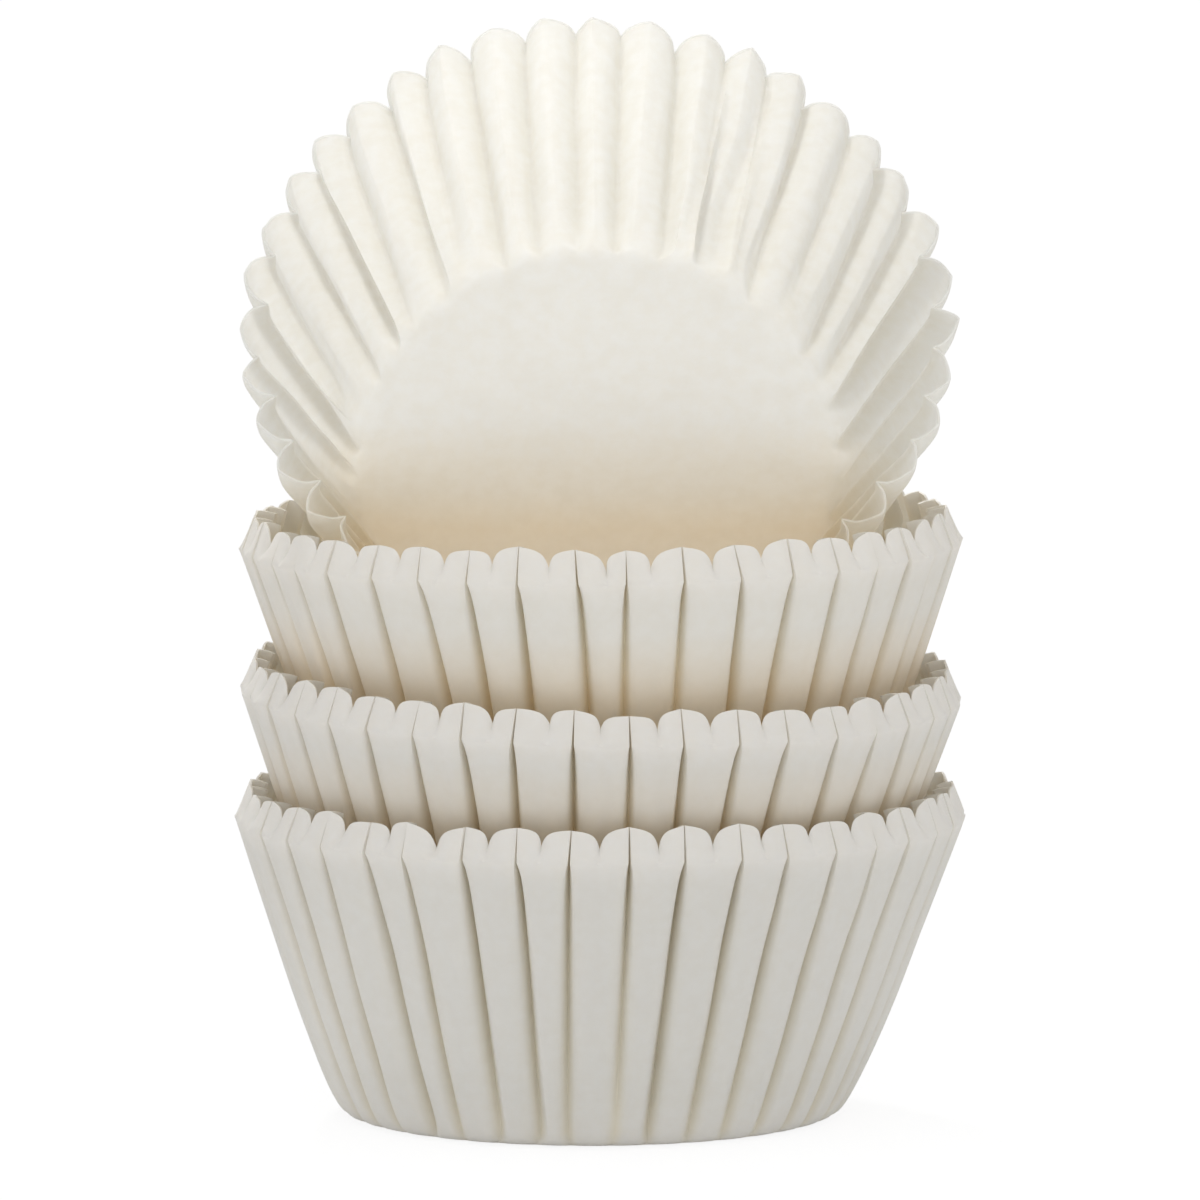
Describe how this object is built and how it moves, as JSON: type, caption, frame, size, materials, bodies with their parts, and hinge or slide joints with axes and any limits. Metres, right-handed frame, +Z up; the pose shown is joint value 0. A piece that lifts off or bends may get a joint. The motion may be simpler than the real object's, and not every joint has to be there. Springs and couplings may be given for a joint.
{
  "type": "stack of cupcake liners",
  "caption": "Stack of pleated greaseproof-paper cupcake liners: nested upright liners with one more tipped on its side in the mouth of the top one.",
  "frame": {"origin": "middle of the bottom liner's flat underside, which rests on the table", "axes": "+Z up through the stack, -Y to the front, where the tipped liner's mouth faces, +X to the right seen from the front"},
  "size_m": [0.074, 0.074, 0.1112],
  "materials": {
    "greaseproof_paper": "plain white greaseproof paper, thin, slightly translucent, matt with a faint sheen"
  },
  "bodies": {
    "root": {"bottom_liner": "greaseproof_paper", "second_liner": "greaseproof_paper", "third_liner": "greaseproof_paper", "tipped_liner": "greaseproof_paper"}
  },
  "joints": []
}
